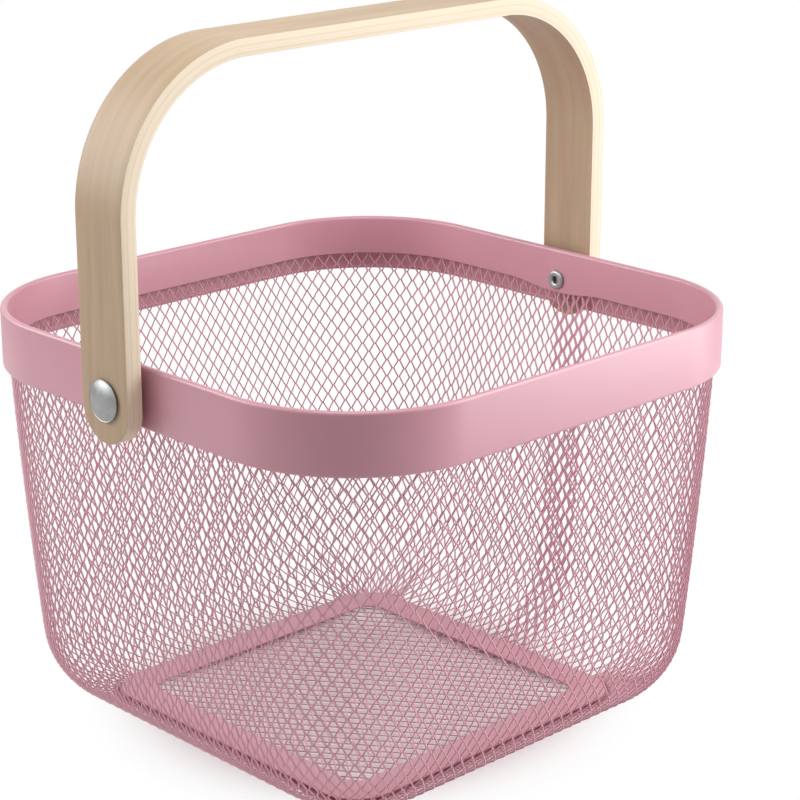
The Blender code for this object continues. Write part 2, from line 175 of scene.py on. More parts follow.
@dataclass(frozen=True)
class PowderCoat:
    """Powder coat on steel: sprayed dry and baked.

    To the eye it is an even satin skin with a faint orange-peel ripple, and softly rounded
    highlights instead of sharp reflections. The clear resin that rises to its surface in the
    oven adds a second shine, a little tighter than the first. Its shade drifts very slightly
    over a few centimetres, with the coat's thickness.

    Attributes:
        resin: how much of the clear resin there is.
        cut: colour of the painted shade on the cut sides of mesh strands, or nothing for plain
            sheet.
        cut_starts: value of the mesh's attribute cut from which that colour comes in.
        cut_full: value of that attribute from which it is full.
    """

    name: str
    light: str = "#cf93a1"
    deep: str = "#c98b9a"
    roughness_low: float = 0.40
    roughness_high: float = 0.48
    ior: float = 1.5
    resin: float = 1.0
    resin_roughness: float = 0.38
    ripple_mm: float = 1.6
    ripple_height_mm: float = 0.012
    ripple_detail: float = 1.5
    ripple_roughness: float = 0.4
    cloud_mm: float = 55.0
    cloud_detail: float = 3.0
    cut: str = ""
    cut_starts: float = 0.05
    cut_full: float = 0.45

    def paint_cut_side_shade(self, tree: NodeTree, colour: NodeSocket) -> NodeSocket:
        """Paints shade on the cut sides of mesh strands, so that strands seen edge-on look dark.

        Args:
            tree: the material's node tree.
            colour: the coat's colour elsewhere.

        Returns:
            The mixed colour's socket.
        """
        value = add_node(tree, "Attribute", {"attribute_name": "cut"}, {}).outputs["Fac"]
        share = add_node(tree, "MapRange", EASED, {
            "Value": value, "From Min": self.cut_starts, "From Max": self.cut_full,
        })
        return add_node(tree, "Mix", COLOURS, {
            "Factor": share.outputs["Result"], MIX_A: colour, MIX_B: srgb(self.cut),
        }).outputs[MIX_RESULT]

    def build(self) -> Material:
        """Makes the coat's material. With a cut colour it paints shade where a mesh's attribute
        cut is set.

        Returns:
            The material.
        """
        material, tree = new_material(self.name)
        place = add_node(tree, "TexCoord", {}, {}).outputs["Object"]
        cloud = add_node(tree, "TexNoise", {}, {
            "Vector": place, "Scale": 1 / (self.cloud_mm * MM), "Detail": self.cloud_detail,
        })
        colour = add_node(tree, "Mix", COLOURS, {
            "Factor": cloud.outputs["Fac"], MIX_A: srgb(self.deep), MIX_B: srgb(self.light),
        }).outputs[MIX_RESULT]
        # Painted shade: the strands' cut sides are darkened so that strands seen edge-on look
        # dark.
        if self.cut:
            colour = self.paint_cut_side_shade(tree, colour)
        ripple = add_node(tree, "TexNoise", {}, {
            "Vector": place, "Scale": 1 / (self.ripple_mm * MM),
            "Detail": self.ripple_detail, "Roughness": self.ripple_roughness,
        })
        gloss = {"To Min": self.roughness_low, "To Max": self.roughness_high}
        relief = (ripple.outputs["Fac"], self.ripple_height_mm)
        show_skin(tree, colour, (cloud.outputs["Fac"], gloss), relief, {
            "IOR": self.ior, "Coat Weight": self.resin, "Coat Roughness": self.resin_roughness,
        })
        return material


@dataclass(frozen=True)
class BirchVeneer:
    """Birch veneers, glued and pressed round a form, then sanded and clear lacquered.

    The wide faces are one rotary-cut leaf each, tan with faint long figure. The narrow faces
    show the stack of leaves: paler, with a thin dark line at each glue layer.

    Attributes:
        ply_mm: thickness of a leaf.
        glue_share: half width of a glue line, as a share of a leaf.
        fibre_in_face: how much the fibres add to the figure of the wide faces.
        fibre_in_leaf: how much the fibres vary the shade of a leaf on the narrow faces.
        face_deep_below: value of that figure below which the deep colour is full.
        face_light_above: value of that figure above which the light colour is full.
        edge_below_facing: a point that faces out less squarely than this is a narrow face.
        face_above_facing: a point that faces out more squarely than this is a wide face.
    """

    name: str = "lacquered_birch_veneer"
    face_light: str = "#bfa88b"
    face_deep: str = "#b19679"
    edge_light: str = "#ece0cc"
    edge_deep: str = "#e3d3b8"
    glue: str = "#c9af8b"
    ply_mm: float = 1.42
    glue_share: float = 0.05
    fibre_mm: float = 0.35
    fibre_length_mm: float = 45.0
    figure_mm: float = 5.0
    figure_length_mm: float = 90.0
    fibre_height_mm: float = 0.015
    grain_detail: float = 3.0
    grain_roughness: float = 0.55
    fibre_in_face: float = 0.35
    fibre_in_leaf: float = 0.5
    face_deep_below: float = 0.45
    face_light_above: float = 0.9
    edge_below_facing: float = 0.55
    face_above_facing: float = 0.9
    roughness_low: float = 0.40
    roughness_high: float = 0.52
    ior: float = 1.5

    def streaks(
        self, tree: NodeTree, strip: NodeSocket, width_mm: float, length_mm: float
    ) -> NodeSocket:
        """Noise drawn out along the strip.

        Args:
            tree: the material's node tree.
            strip: the strip's own coordinates.
            width_mm: width of a streak.
            length_mm: length of a streak.

        Returns:
            The noise's value socket.
        """
        across = 1 / (width_mm * MM)
        mapping = add_node(tree, "Mapping", {}, {
            "Vector": strip, "Scale": (1 / (length_mm * MM), across, across),
        })
        noise = add_node(tree, "TexNoise", {}, {
            "Vector": mapping.outputs["Vector"], "Scale": 1.0,
            "Detail": self.grain_detail, "Roughness": self.grain_roughness,
        })
        return noise.outputs["Fac"]

    def face_colour(self, tree: NodeTree, fibres: NodeSocket, strip: NodeSocket) -> NodeSocket:
        """Colour of the wide faces: long figure, with the fibres in it.

        Args:
            tree: the material's node tree.
            fibres: the fibres' noise.
            strip: the strip's own coordinates.

        Returns:
            The colour's socket.
        """
        figure = self.streaks(tree, strip, self.figure_mm, self.figure_length_mm)
        both = add_node(tree, "Math", {"operation": "MULTIPLY_ADD"}, {
            0: fibres, 1: self.fibre_in_face, 2: figure,
        })
        blend = add_node(tree, "MapRange", {}, {
            "Value": both.outputs[0], "From Min": self.face_deep_below,
            "From Max": self.face_light_above,
        })
        return add_node(tree, "Mix", COLOURS, {
            "Factor": blend.outputs["Result"],
            MIX_A: srgb(self.face_deep), MIX_B: srgb(self.face_light),
        }).outputs[MIX_RESULT]

    def edge_colour(self, tree: NodeTree, fibres: NodeSocket, strip: NodeSocket) -> NodeSocket:
        """Colour of the narrow faces: leaves of two shades in turn, with a line between them.

        Args:
            tree: the material's node tree.
            fibres: the fibres' noise.
            strip: the strip's own coordinates.

        Returns:
            The colour's socket.
        """
        depth = add_node(tree, "SeparateXYZ", {}, {"Vector": strip}).outputs["Z"]
        ply = add_node(tree, "Math", {"operation": "DIVIDE"}, {0: depth, 1: self.ply_mm * MM})
        leaf = add_node(tree, "Math", {"operation": "FRACT"}, {0: ply.outputs[0]})
        # Goes up through one leaf and down through the next.
        pair = add_node(tree, "Math", {"operation": "PINGPONG"}, {0: ply.outputs[0], 1: 1.0})
        # Distance to the nearer side of the leaf, as a share of the leaf.
        near = add_node(tree, "Math", {"operation": "PINGPONG"}, {0: leaf.outputs[0], 1: 0.5})
        line = add_node(tree, "MapRange", EASED, {
            "Value": near.outputs[0], "From Min": 0.0, "From Max": self.glue_share,
            "To Min": 1.0, "To Max": 0.0,
        })
        leaves = add_node(tree, "Math", {"operation": "MULTIPLY_ADD"}, {
            0: fibres, 1: self.fibre_in_leaf, 2: pair.outputs[0],
        })
        edge = add_node(tree, "Mix", COLOURS, {
            "Factor": leaves.outputs[0], MIX_A: srgb(self.edge_light), MIX_B: srgb(self.edge_deep),
        })
        return add_node(tree, "Mix", COLOURS, {
            "Factor": line.outputs["Result"],
            MIX_A: edge.outputs[MIX_RESULT], MIX_B: srgb(self.glue),
        }).outputs[MIX_RESULT]

    def build(self) -> Material:
        """Makes the wood's material. It reads the attributes strip and facing of its mesh.

        Returns:
            The material.
        """
        material, tree = new_material(self.name)
        strip = add_node(tree, "Attribute", {"attribute_name": "strip"}, {}).outputs["Vector"]
        facing = add_node(tree, "Attribute", {"attribute_name": "facing"}, {}).outputs["Fac"]
        fibres = self.streaks(tree, strip, self.fibre_mm, self.fibre_length_mm)
        side = add_node(tree, "MapRange", EASED, {
            "Value": facing, "From Min": self.edge_below_facing,
            "From Max": self.face_above_facing,
        })
        colour = add_node(tree, "Mix", COLOURS, {
            "Factor": side.outputs["Result"], MIX_A: self.edge_colour(tree, fibres, strip),
            MIX_B: self.face_colour(tree, fibres, strip),
        }).outputs[MIX_RESULT]
        gloss = {"To Min": self.roughness_low, "To Max": self.roughness_high}
        show_skin(tree, colour, (fibres, gloss), (fibres, self.fibre_height_mm), {"IOR": self.ior})
        return material


@dataclass(frozen=True)
class ZincSteel:
    """Zinc-plated steel, pressed and barrel-tumbled.

    The tumbling leaves a soft grey shine with small dents and a slightly patchy gloss.

    Attributes:
        smooth_below: value of the grit's noise below which the roughness is lowest.
        rough_above: value of that noise above which the roughness is highest.
    """

    name: str = "tumbled_zinc_steel"
    light: str = "#afb1b0"
    deep: str = "#969999"
    dent_mm: float = 2.2
    dent_height_mm: float = 0.05
    grit_mm: float = 0.4
    detail: float = 2.0
    smooth_below: float = 0.3
    rough_above: float = 0.7
    roughness_low: float = 0.32
    roughness_high: float = 0.46

    def build(self) -> Material:
        """Makes the plated steel's material.

        Returns:
            The material.
        """
        material, tree = new_material(self.name)
        place = add_node(tree, "TexCoord", {}, {}).outputs["Object"]
        dents = add_node(tree, "TexNoise", {}, {
            "Vector": place, "Scale": 1 / (self.dent_mm * MM), "Detail": self.detail,
        })
        grit = add_node(tree, "TexNoise", {}, {
            "Vector": place, "Scale": 1 / (self.grit_mm * MM), "Detail": self.detail,
        })
        colour = add_node(tree, "Mix", COLOURS, {
            "Factor": dents.outputs["Fac"], MIX_A: srgb(self.deep), MIX_B: srgb(self.light),
        }).outputs[MIX_RESULT]
        gloss = {
            "From Min": self.smooth_below, "From Max": self.rough_above,
            "To Min": self.roughness_low, "To Max": self.roughness_high,
        }
        relief = (dents.outputs["Fac"], self.dent_height_mm)
        show_skin(tree, colour, (grit.outputs["Fac"], gloss), relief, {"Metallic": 1.0})
        return material


@dataclass(frozen=True)
class Nylon:
    """Natural nylon, injection moulded: milky white, dull, with a trace of flow marks."""

    name: str = "moulded_nylon"
    light: str = "#e4e1da"
    deep: str = "#d5d1c8"
    flow_mm: float = 3.0
    flow_detail: float = 2.0
    roughness: float = 0.55
    ior: float = 1.53

    def build(self) -> Material:
        """Makes the nylon's material.

        Returns:
            The material.
        """
        material, tree = new_material(self.name)
        place = add_node(tree, "TexCoord", {}, {}).outputs["Object"]
        flow = add_node(tree, "TexNoise", {}, {
            "Vector": place, "Scale": 1 / (self.flow_mm * MM), "Detail": self.flow_detail,
        })
        colour = add_node(tree, "Mix", COLOURS, {
            "Factor": flow.outputs["Fac"], MIX_A: srgb(self.deep), MIX_B: srgb(self.light),
        })
        shader = add_node(tree, "BsdfPrincipled", {}, {
            "Base Color": colour.outputs[MIX_RESULT], "Roughness": self.roughness, "IOR": self.ior,
        })
        show_surface(tree, shader)
        return material


def mesh_object(
    name: str,
    points: Sequence[Vector | tuple[float, float, float]],
    faces: Sequence[Sequence[int]],
    material: Material,
) -> Object:
    """Makes a mesh object in the scene.

    Args:
        name: the object's name.
        points: vertex places in metres.
        faces: vertex numbers of each face.
        material: the only material.

    Returns:
        The object.
    """
    mesh = bpy.data.meshes.new(name)
    mesh.from_pydata(points, [], faces)
    mesh.materials.append(material)
    item = bpy.data.objects.new(name, mesh)
    bpy.context.scene.collection.objects.link(item)
    return item


def grid_faces(
    rows: int, columns: int, closed: bool, rows_joined: bool = False
) -> list[tuple[int, int, int, int]]:
    """Faces of a grid of points that is stored row by row.

    Args:
        rows: number of rows.
        columns: points in a row.
        closed: whether each row's last point joins its first.
        rows_joined: whether the last row joins the first.

    Returns:
        Vertex numbers of each face.
    """
    faces = []
    for row in range(rows if rows_joined else rows - 1):
        start = row * columns
        start_after = (row + 1) % rows * columns
        for k in range(columns if closed else columns - 1):
            after = (k + 1) % columns
            faces.append((start + k, start_after + k, start_after + after, start + after))
    return faces


def add_bar_faces(faces: list[tuple[int, ...]], start: int, stations: int, corners: int) -> None:
    """Adds the sides and both ends of a bar whose points are stored station by station.

    Args:
        faces: takes the new faces.
        start: number of the bar's first point.
        stations: number of stations.
        corners: points at each station.
    """
    for k in range(stations - 1):
        base = start + corners * k
        for corner in range(corners):
            after = (corner + 1) % corners
            faces.append((
                base + corner, base + after, base + corners + after, base + corners + corner,
            ))
    last = start + corners * (stations - 1)
    faces.append(tuple(range(start + corners - 1, start - 1, -1)))
    faces.append(tuple(range(last, last + corners)))


def face_outwards(item: Object) -> None:
    """Makes the face normals of a mesh agree and point out of it.

    Args:
        item: the object that holds the mesh.
    """
    shape = bmesh.new()
    shape.from_mesh(item.data)
    bmesh.ops.recalc_face_normals(shape, faces=shape.faces)
    shape.to_mesh(item.data)
    shape.free()


def add_sheet(item: Object, thickness: float) -> None:
    """Thickens a surface by half its sheet thickness to each side.

    Args:
        item: the object that holds the surface.
        thickness: the sheet's thickness.
    """
    sheet = item.modifiers.new("Sheet", "SOLIDIFY")
    sheet.thickness = thickness
    sheet.offset = 0.0
    sheet.use_even_offset = True


SHARP_EDGE_DEGREES = 50


def add_round_edges(item: Object, radius: float, segments: int) -> None:
    """Rounds the sharp edges of a mesh.

    Args:
        item: the object.
        radius: width of the rounding.
        segments: facets across it.
    """
    edge = item.modifiers.new("Round edges", "BEVEL")
    edge.width = radius
    edge.segments = segments
    edge.limit_method = "ANGLE"
    edge.angle_limit = math.radians(SHARP_EDGE_DEGREES)


def apply_modifiers(item: Object, sharp_degrees: float) -> None:
    """Turns an object's modifiers into its mesh, takes its drills away and shades it.

    Args:
        item: the object.
        sharp_degrees: edges sharper than this stay sharp.
    """
    bpy.context.view_layer.update()
    evaluated = item.evaluated_get(bpy.context.evaluated_depsgraph_get())
    mesh = bpy.data.meshes.new_from_object(evaluated)
    rods = [modifier.object for modifier in item.modifiers if modifier.type == "BOOLEAN"]
    item.modifiers.clear()
    for rod in rods:
        bpy.data.objects.remove(rod)
    item.data = mesh
    mesh.shade_smooth()
    mesh.set_sharp_from_angle(angle=math.radians(sharp_degrees))


DRILL_FACETS = 48


def drill(item: Object, centre: Vector, radius: float, half_length: float) -> None:
    """Cuts a round hole along X through an object, when its modifiers are applied.

    Args:
        item: the object.
        centre: a point on the hole's axis.
        radius: the hole's radius.
        half_length: reach of the drill to each side of its centre.
    """
    shape = bmesh.new()
    bmesh.ops.create_cone(
        shape, cap_ends=True, segments=DRILL_FACETS, radius1=radius, radius2=radius,
        depth=2 * half_length,
    )
    mesh = bpy.data.meshes.new("drill")
    shape.to_mesh(mesh)
    shape.free()
    rod = bpy.data.objects.new("drill", mesh)
    bpy.context.scene.collection.objects.link(rod)
    rod.location = centre
    rod.rotation_euler = (0.0, math.pi / 2, 0.0)
    cut = item.modifiers.new("Drill", "BOOLEAN")
    cut.operation = "DIFFERENCE"
    cut.solver = "EXACT"
    cut.object = rod


def arc(
    centre: tuple[float, float], radius: float, start: float, end: float, steps: int
) -> list[tuple[float, float]]:
    """Points along an arc.

    Args:
        centre: the arc's centre.
        radius: its radius.
        start: first angle in degrees.
        end: last angle in degrees.
        steps: number of steps.

    Returns:
        The points in order.
    """
    points = []
    for k in range(steps + 1):
        angle = math.radians(start + (end - start) * k / steps)
        points.append((centre[0] + radius * math.cos(angle), centre[1] + radius * math.sin(angle)))
    return points


def smooth_step(value: float) -> float:
    """Eases a value from 0 to 1, flat at both ends."""
    value = min(max(value, 0.0), 1.0)
    return value * value * (3 - 2 * value)


@dataclass(frozen=True)
class SquarePlan:
    """The basket's plan: a square whose round corners share their centres at every height.

    Attributes:
        corner_centre: from the middle to each corner's centre, along X and Y.
        ruling_radius: corner radius at which rings are shared out between sides and corners.
        corner_steps: facets in each corner of a ring.
    """

    corner_centre: float = 0.063
    ruling_radius: float = 0.0549
    corner_steps: int = 28

    def at(self, half_width: float, turn: float) -> tuple[Vector, Vector]:
        """Place and outward direction on a ring, at a share of one turn from the +X side.

        Args:
            half_width: from the middle to the ring's sides.
            turn: share of one turn, anticlockwise seen from above.

        Returns:
            The point and the outward direction, both at height 0.
        """
        straight = 2 * self.corner_centre
        quarter = straight + math.pi / 2 * self.ruling_radius
        along = (turn % 1.0) * 4 * quarter + straight / 2
        side = int(along // quarter)
        along -= side * quarter
        spin = side % 4 * math.pi / 2
        if along <= straight:
            point = Vector((half_width, along - self.corner_centre, 0.0))
            angle = spin
        else:
            bend = (along - straight) / self.ruling_radius
            radius = half_width - self.corner_centre
            point = Vector((
                self.corner_centre + radius * math.cos(bend),
                self.corner_centre + radius * math.sin(bend),
                0.0,
            ))
            angle = spin + bend
        cos, sin = math.cos(spin), math.sin(spin)
        turned = Vector((point.x * cos - point.y * sin, point.x * sin + point.y * cos, 0.0))
        return turned, Vector((math.cos(angle), math.sin(angle), 0.0))

    def ring(
        self, half_width: float, height: float, stops: Sequence[float] = ()
    ) -> list[Vector]:
        """One ring of points round the plan.

        Args:
            half_width: from the middle to the ring's sides.
            height: the ring's height.
            stops: extra points on the two sides across X, as distances from their middle.

        Returns:
            The points, anticlockwise.
        """
        points = []
        for sign_x, sign_y, start in ((1, 1, 0), (-1, 1, 90), (-1, -1, 180), (1, -1, 270)):
            centre = (sign_x * self.corner_centre, sign_y * self.corner_centre)
            radius = half_width - self.corner_centre
            points += arc(centre, radius, start, start + 90, self.corner_steps)
            if sign_x != sign_y:
                points += [(sign_x * half_width, -sign_x * stop) for stop in stops]
        return [Vector((x, y, height)) for x, y in points]


# A strand's section, as shares of its width and thickness. Its two outermost points lie in the
# middle of its cut sides.
STRAND_SECTION = ((-0.5, 0.0), (-0.36, -0.5), (0.36, -0.5), (0.5, 0.0), (0.36, 0.5), (-0.36, 0.5))


def mark_cut_sides(item: Object) -> None:
    """Stores on a mesh of strands which points lie on a strand's cut sides.

    Args:
        item: an object whose points repeat the strand's section.
    """
    widest = max(across for across, _ in STRAND_SECTION)
    shares = [float(abs(across) == widest) for across, _ in STRAND_SECTION]
    cut = item.data.attributes.new("cut", "FLOAT", "POINT")
    cut.data.foreach_set("value", shares * (len(cut.data) // len(shares)))


class MeasuredSection:
    """A section line that gives the point at a length from its start."""

    def __init__(self, points: list[tuple[float, float]]) -> None:
        """Measures the line.

        Args:
            points: half widths and heights.
        """
        self.points = points
        self.lengths = [0.0]
        for (x0, z0), (x1, z1) in zip(points[:-1], points[1:]):
            self.lengths.append(self.lengths[-1] + math.hypot(x1 - x0, z1 - z0))

    def at(self, along: float) -> tuple[float, float, tuple[float, float]]:
        """A point at a length from the start.

        Args:
            along: the length.

        Returns:
            Half width, height, and the outward normal as its height and half-width parts.
        """
        low = min(bisect_right(self.lengths, along) - 1, len(self.points) - 2)
        (x0, z0), (x1, z1) = self.points[low], self.points[low + 1]
        span = self.lengths[low + 1] - self.lengths[low]
        share = (along - self.lengths[low]) / span
        normal = ((x1 - x0) / span, (z0 - z1) / span)
        return x0 + (x1 - x0) * share, z0 + (z1 - z0) * share, normal


@dataclass(frozen=True)
class StrandLayer:
    """Strands side by side round the wall.

    Attributes:
        name: the layer's name.
        first: half column at which the first strand starts.
        count: number of strands.
        strand: width of a strand, of which two lie side by side in each bond.
        outside: how far outside the wall's surface the strands lie.
        shift: turn of the pattern, in half columns.
    """

    name: str
    first: int
    count: int
    strand: float
    outside: float = 0.0
    shift: float = 0.0


@dataclass
class MeshWall:
    """The basket's sides: expanded steel mesh, rolled into a square and turned in below.

    Each strand zigzags down the wall and is bonded to its neighbours in turn. The slitting and
    stretching leave every strand tilted the same way, like the slats of a blind.

    Attributes:
        plan: the basket's plan.
        columns: diamonds round the basket.
        half_rows: half diamonds down the wall.
        strand: width of a strand.
        thickness: sheet thickness with its coat.
        tilt: lean of a strand out of the wall, in degrees.
        bond_reach: from a bond's middle to the middle of each of its strands, as a share of
            their width.
        overlap: the strands of the sheet's end that laps over the other, caked with more coat.
        top_below_rim: top edge of the sheet, below the top of the rim.
        skirt_height: height of the rim's lower edge.
        top_half_width: middle of the sheet from the basket's middle, at that height.
        tuck_slope: lean of the sheet inside the rim, outwards for each unit of height.
        taper: how far the wall comes in towards the floor.
        bulge: outward bow at half height.
        bend_radius: radius of the bottom bend.
        edge_half_width: from the basket's middle to the turned-in lower edge.
        foot: lowest height of the sheet's middle.
        section_steps: divisions of the wall's section before it is measured.
    """

    plan: SquarePlan
    columns: int = 146
    half_rows: int = 47
    strand: float = 0.82 * MM
    thickness: float = 0.5 * MM
    tilt: float = -30.0
    bond_reach: float = 0.45
    overlap: StrandLayer = StrandLayer(
        "wall_mesh_overlap", first=-7, count=7, strand=1.1 * MM, outside=0.85 * MM, shift=0.4
    )
    top_below_rim: float = 6.5 * MM
    skirt_height: float = 154.5 * MM
    top_half_width: float = 121.8 * MM
    tuck_slope: float = 0.07
    taper: float = 12.2 * MM
    bulge: float = 1.0 * MM
    bend_radius: float = 33.0 * MM
    edge_half_width: float = 82.0 * MM
    foot: float = 1.02 * MM
    section_steps: int = 800

    def half_width(self, height: float) -> float:
        """Middle of the sheet from the basket's middle.

        Args:
            height: height above the floor.

        Returns:
            The half width there.
        """
        drop = (self.skirt_height - height) / self.skirt_height
        if drop < 0.0:
            return self.top_half_width + self.tuck_slope * (height - self.skirt_height)
        wall = self.top_half_width - self.taper * drop + self.bulge * 4 * drop * (1 - drop)
        reach = self.bend_radius - (height - self.foot)
        if reach <= 0.0:
            return wall
        inset = self.bend_radius - math.sqrt(max(self.bend_radius ** 2 - reach ** 2, 0.0))
        return wall - inset

    def section(self, rim_top: float) -> list[tuple[float, float]]:
        """The wall's section from top to lower edge, finely divided.

        Args:
            rim_top: height of the top of the rim.

        Returns:
            Half widths and heights.
        """
        top = rim_top - self.top_below_rim
        points = []
        for k in range(self.section_steps + 1):
            height = self.foot + (top - self.foot) * (1 - k / self.section_steps) ** 2
            half_width = self.half_width(height)
            if half_width < self.edge_half_width:
                break
            points.append((half_width, height))
        return points

    def make(self, layer: StrandLayer, rim_top: float, material: Material) -> Object:
        """Builds strands side by side down the wall.

        Args:
            layer: the strands.
            rim_top: height of the top of the rim.
            material: the coat.

        Returns:
            The strands as one object.
        """
        section = MeasuredSection(self.section(rim_top))
        step = section.lengths[-1] / self.half_rows
        tilt = math.radians(self.tilt)
        points: list[Vector] = []
        faces: list[tuple[int, ...]] = []
        for strand in range(layer.first, layer.first + layer.count):
            start = len(points)
            for row in range(self.half_rows + 1):
                on_left = (strand + row) % 2 == 0
                column = strand if on_left else strand + 1
                side = 1.0 if on_left else -1.0
                turn = (column + layer.shift) / (2 * self.columns)
                half_width, height, (lift, reach) = section.at(row * step)
                place, outward = self.plan.at(half_width + layer.outside * reach, turn)
                place.z = height + layer.outside * lift
                round_way = Vector((-outward.y, outward.x, 0.0))
                normal = outward * reach + Vector((0.0, 0.0, lift))
                wide = round_way * math.cos(tilt) + normal * math.sin(tilt)
                thick = normal * math.cos(tilt) - round_way * math.sin(tilt)
                middle = place + wide * (side * self.bond_reach * layer.strand)
                for a, b in STRAND_SECTION:
                    across = wide * (a * layer.strand)
                    points.append(middle + across + thick * (b * self.thickness))
            add_bar_faces(faces, start, self.half_rows + 1, len(STRAND_SECTION))
        return mesh_object(layer.name, points, faces, material)

    def build(self, rim_top: float, material: Material) -> list[Object]:
        """Builds the wall, and the strip where the rolled sheet's ends lie one over the other.

        Args:
            rim_top: height of the top of the rim.
            material: the coat.

        Returns:
            The two objects.
        """
        whole = StrandLayer("wall_mesh_strands", 0, 2 * self.columns, self.strand)
        layers = [self.make(layer, rim_top, material) for layer in (whole, self.overlap)]
        for item in layers:
            face_outwards(item)
            item.data.shade_smooth()
            mark_cut_sides(item)
            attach(item, Body.BASKET.value)
            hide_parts("wall_mesh")
        return layers


@dataclass
class RimBand:
    """Sheet folded over the top of the mesh: a tall outer leg and a shorter inner leg.

    Attributes:
        plan: the basket's plan.
        sheet: sheet thickness.
        fold: outer face to inner face, at the top.
        hem_height: depth of the inner leg.
        hem_flare: how far the inner leg leans in at its lower edge.
        hem_drop: extra depth of the inner leg round the rivets.
        drop_half: half length of the full drop.
        drop_end: from the rivets' axis to where the drop has run out.
        turn_in: how far the outer leg's lower edge is turned in.
        turn_radius: outer radius of that turn.
        edge_radius: rounding of the sheet's edges.
        bore: radius of the rivet holes.
        side_steps: divisions of the stretch with the drop.
    """

    plan: SquarePlan
    sheet: float = 0.6 * MM
    fold: float = 3.0 * MM
    hem_height: float = 17.5 * MM
    hem_flare: float = 0.8 * MM
    hem_drop: float = 2.2 * MM
    drop_half: float = 4.0 * MM
    drop_end: float = 28.0 * MM
    turn_in: float = 1.6 * MM
    turn_radius: float = 1.4 * MM
    edge_radius: float = 0.18 * MM
    bore: float = 2.8 * MM
    side_steps: int = 24

    def build(self, pivot: Vector, material: Material) -> Object:
        """Builds the band in the place of the frame's node.

        Args:
            pivot: a point on the rivets' axis.
            material: the coat.

        Returns:
            The band.
        """
        low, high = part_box("rim_band")
        half = self.sheet / 2
        outer = high.x - half
        inner = high.x - self.fold + half
        fold_radius = (outer - inner) / 2
        foot = low.z + half
        turn = self.turn_radius - half
        profile = [(high.x - self.turn_in, foot)]
        profile += arc((outer - turn, foot + turn), turn, -90, 0, steps=6)
        fold_height = high.z - half - fold_radius
        profile += arc((outer - fold_radius, fold_height), fold_radius, 0, 180, steps=16)
        steps = self.side_steps
        stops = [self.drop_end * (1 - 2 * k / steps) for k in range(steps + 1)]
        rings = [self.plan.ring(half_width, height, stops) for half_width, height in profile]
        edge_height = high.z - self.hem_height
        edge = self.plan.ring(inner - self.hem_flare, edge_height, stops)
        for point in edge:
            share = (self.drop_end - abs(point.y)) / (self.drop_end - self.drop_half)
            point.z -= self.hem_drop * smooth_step(share)
        rings.append(edge)
        points = [point for ring in rings for point in ring]
        faces = grid_faces(len(rings), len(edge), closed=True)
        band = mesh_object("rim_band_folded", points, faces, material)
        face_outwards(band)
        add_sheet(band, self.sheet)
        add_round_edges(band, self.edge_radius, segments=2)
        drill(band, pivot, self.bore, 2 * high.x)
        apply_modifiers(band, sharp_degrees=40)
        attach(band, Body.BASKET.value)
        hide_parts("rim_band")
        return band


@dataclass(frozen=True)
class PlateRing:
    """A flat square ring with round corners, blanked from sheet.

    Attributes:
        node: the frame's node whose place it takes.
        slot: the frame's slot of its finish; not used.
        plan: the plan of its outer edge.
        opening: from the middle to the sides of its opening.
        opening_radius: corner radius of the opening.
        edge_radius: rounding of the blanked edges.
    """

    node: str
    slot: str
    plan: SquarePlan
    opening: float
    opening_radius: float
    edge_radius: float = 0.15 * MM

    def build(self, material: Material) -> Object:
        """Builds the ring in the place of the frame's node.

        Args:
            material: the coat.

        Returns:
            The ring.
        """
        low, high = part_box(self.node)
        hole = SquarePlan(self.opening - self.opening_radius)
        rings = [hole.ring(self.opening, low.z), self.plan.ring(high.x, low.z)]
        rings += [self.plan.ring(high.x, high.z), hole.ring(self.opening, high.z)]
        points = [point for ring in rings for point in ring]
        faces = grid_faces(len(rings), len(rings[0]), closed=True, rows_joined=True)
        ring = mesh_object(self.node + "_blanked", points, faces, material)
        face_outwards(ring)
        add_round_edges(ring, self.edge_radius, segments=2)
        apply_modifiers(ring, sharp_degrees=40)
        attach(ring, Body.BASKET.value)
        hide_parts(self.node)
        return ring


@dataclass
class FloorPanel:
    """The basket's floor: expanded steel mesh, rolled flat.

    Attributes:
        pitch_x: width of a diamond.
        pitch_y: length of a diamond.
        strand: width of a strand.
        thickness: thickness of a strand.
        bond: length of a bond.
        bond_reach: from a bond's middle to the middle of each of its strands, as a share of
            their width.
    """

    pitch_x: float = 6.2 * MM
    pitch_y: float = 8.2 * MM
    strand: float = 0.7 * MM
    thickness: float = 0.5 * MM
    bond: float = 1.0 * MM
    bond_reach: float = 0.46

    def build(self, material: Material) -> Object:
        """Builds the panel in the place of the frame's node.

        Args:
            material: the coat.

        Returns:
            The panel.
        """
        low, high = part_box("floor_mesh")
        width = high.x - low.x
        depth = high.y - low.y
        middle = (low.z + high.z) / 2
        columns = 2 * round(width / self.pitch_x)
        rows = 2 * round(depth / self.pitch_y)
        column_step = (width - self.strand) / columns
        row_step = depth / rows
        points: list[Vector] = []
        faces: list[tuple[int, ...]] = []
        for strand in range(columns):
            start = len(points)
            stations = 0
            for row in range(rows + 1):
                on_left = (strand + row) % 2 == 0
                column = strand if on_left else strand + 1
                side = self.bond_reach if on_left else -self.bond_reach
                x = low.x + self.strand / 2 + column * column_step + side * self.strand
                for end in (-0.5, 0.5):
                    y = high.y - row * row_step - end * self.bond
                    if not low.y <= y <= high.y:
                        continue
                    for a, b in STRAND_SECTION:
                        place = (x + a * self.strand, y, middle + b * self.thickness)
                        points.append(Vector(place))
                    stations += 1
            add_bar_faces(faces, start, stations, len(STRAND_SECTION))
        panel = mesh_object("floor_mesh_strands", points, faces, material)
        face_outwards(panel)
        panel.data.shade_smooth()
        mark_cut_sides(panel)
        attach(panel, Body.BASKET.value)
        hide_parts("floor_mesh")
        return panel


def dress(item: Object, material: Material) -> None:
    """Gives every slot of a frame node one material."""
    item.data.materials.clear()
    item.data.materials.append(material)


